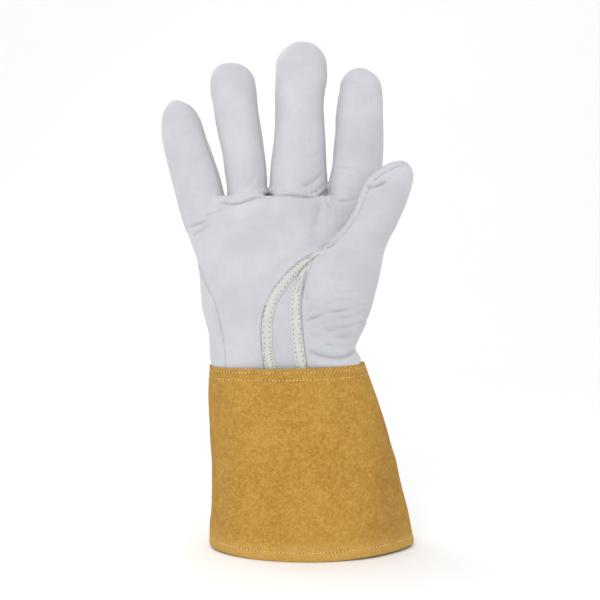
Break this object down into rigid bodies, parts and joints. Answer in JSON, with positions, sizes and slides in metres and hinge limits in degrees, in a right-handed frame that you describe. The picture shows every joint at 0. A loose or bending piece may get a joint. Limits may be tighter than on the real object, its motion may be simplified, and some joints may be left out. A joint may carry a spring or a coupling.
{
  "type": "tig welding glove",
  "caption": "Right-hand welding glove: supple grain-leather hand with a separate thumb, and a flared split-leather cuff, standing on its hem with the fingers up.",
  "frame": {"origin": "centre of the bounding box at the level of the cuff's hem", "axes": "+Z from the hem to the fingertips, +X towards the thumb's side, -Y out of the palm"},
  "size_m": [0.1626, 0.0853, 0.33],
  "materials": {
    "hand_leather": "matt, fine even grain",
    "cuff_suede": "napped split leather",
    "seam_band": "matt, fine even grain",
    "thread": "twisted thread",
    "elastic": "woven elastic"
  },
  "bodies": {
    "cuff": {"cuff_panel": "cuff_suede", "cuff_seam_backing": "cuff_suede", "cuff_seam_stitches_front": "thread", "cuff_seam_stitches_rear": "thread", "cuff_stitches_upper": "thread", "cuff_stitches_lower": "thread", "hem_stitches": "thread"},
    "hand": {"palm_panel": "hand_leather", "thumb_gusset": "hand_leather", "thumb_root_panel": "hand_leather", "back_panel": "hand_leather", "palm_seam_band": "seam_band", "palm_seam_band_outer_stitches": "thread", "palm_seam_band_inner_stitches": "thread", "thumb_seam_band": "seam_band", "thumb_seam_band_outer_stitches": "thread", "thumb_seam_band_inner_stitches": "thread", "wrist_elastic": "elastic", "wrist_elastic_stitches": "thread"},
    "little": {"little_front": "hand_leather", "little_back": "hand_leather", "little_fourchette_thumb_side": "hand_leather"},
    "little_tip": {"little_front_tip": "hand_leather", "little_back_tip": "hand_leather", "little_fourchette_thumb_side_tip": "hand_leather"},
    "ring": {"ring_front": "hand_leather", "ring_back": "hand_leather", "ring_fourchette_little_side": "hand_leather", "ring_fourchette_thumb_side": "hand_leather"},
    "ring_tip": {"ring_front_tip": "hand_leather", "ring_back_tip": "hand_leather", "ring_fourchette_little_side_tip": "hand_leather", "ring_fourchette_thumb_side_tip": "hand_leather"},
    "middle": {"middle_front": "hand_leather", "middle_back": "hand_leather", "middle_fourchette_little_side": "hand_leather", "middle_fourchette_thumb_side": "hand_leather"},
    "middle_tip": {"middle_front_tip": "hand_leather", "middle_back_tip": "hand_leather", "middle_fourchette_little_side_tip": "hand_leather", "middle_fourchette_thumb_side_tip": "hand_leather"},
    "index": {"index_front": "hand_leather", "index_back": "hand_leather", "index_fourchette_little_side": "hand_leather"},
    "index_tip": {"index_front_tip": "hand_leather", "index_back_tip": "hand_leather", "index_fourchette_little_side_tip": "hand_leather"},
    "thumb": {"thumb_front": "hand_leather", "thumb_back": "hand_leather"},
    "thumb_tip": {"thumb_front_tip": "hand_leather", "thumb_back_tip": "hand_leather"}
  },
  "joints": [
    {"name": "wrist_bend", "type": "hinge", "parent": "cuff", "child": "hand", "pos_m": [-0.00217, 0.00681, 0.12], "axis": [1, 0, 0], "range_deg": [-25, 20]},
    {"name": "little_knuckle_bend", "type": "hinge", "parent": "hand", "child": "little", "pos_m": [-0.05497, -0.00609, 0.222], "axis": [0.9737, 0, 0.2279], "range_deg": [0, 85]},
    {"name": "little_middle_bend", "type": "hinge", "parent": "little", "child": "little_tip", "pos_m": [-0.06273, -0.00599, 0.25514], "axis": [0.9737, 0, 0.2279], "range_deg": [0, 85]},
    {"name": "ring_knuckle_bend", "type": "hinge", "parent": "hand", "child": "ring", "pos_m": [-0.02667, -0.00659, 0.2295], "axis": [0.9935, 0, 0.1142], "range_deg": [0, 85]},
    {"name": "ring_middle_bend", "type": "hinge", "parent": "ring", "child": "ring_tip", "pos_m": [-0.03137, -0.00673, 0.27039], "axis": [0.9935, 0, 0.1142], "range_deg": [0, 85]},
    {"name": "middle_knuckle_bend", "type": "hinge", "parent": "hand", "child": "middle", "pos_m": [0.00653, -0.00659, 0.232], "axis": [0.9997, 0, -0.0255], "range_deg": [0, 85]},
    {"name": "middle_middle_bend", "type": "hinge", "parent": "middle", "child": "middle_tip", "pos_m": [0.00771, -0.00696, 0.27806], "axis": [0.9997, 0, -0.0255], "range_deg": [0, 85]},
    {"name": "index_knuckle_bend", "type": "hinge", "parent": "hand", "child": "index", "pos_m": [0.04373, -0.00639, 0.2312], "axis": [0.9994, 0, -0.0342], "range_deg": [0, 60]},
    {"name": "index_middle_bend", "type": "hinge", "parent": "index", "child": "index_tip", "pos_m": [0.04505, -0.00662, 0.26965], "axis": [0.9994, 0, -0.0342], "range_deg": [0, 85]},
    {"name": "thumb_root_bend", "type": "hinge", "parent": "hand", "child": "thumb", "pos_m": [0.03139, -0.02917, 0.19726], "axis": [-0.4457, 0.6274, 0.6385], "range_deg": [-40, 0]},
    {"name": "thumb_middle_bend", "type": "hinge", "parent": "thumb", "child": "thumb_tip", "pos_m": [0.0479, -0.03852, 0.22227], "axis": [-0.5803, 0.6906, 0.4316], "range_deg": [-70, 0]}
  ]
}
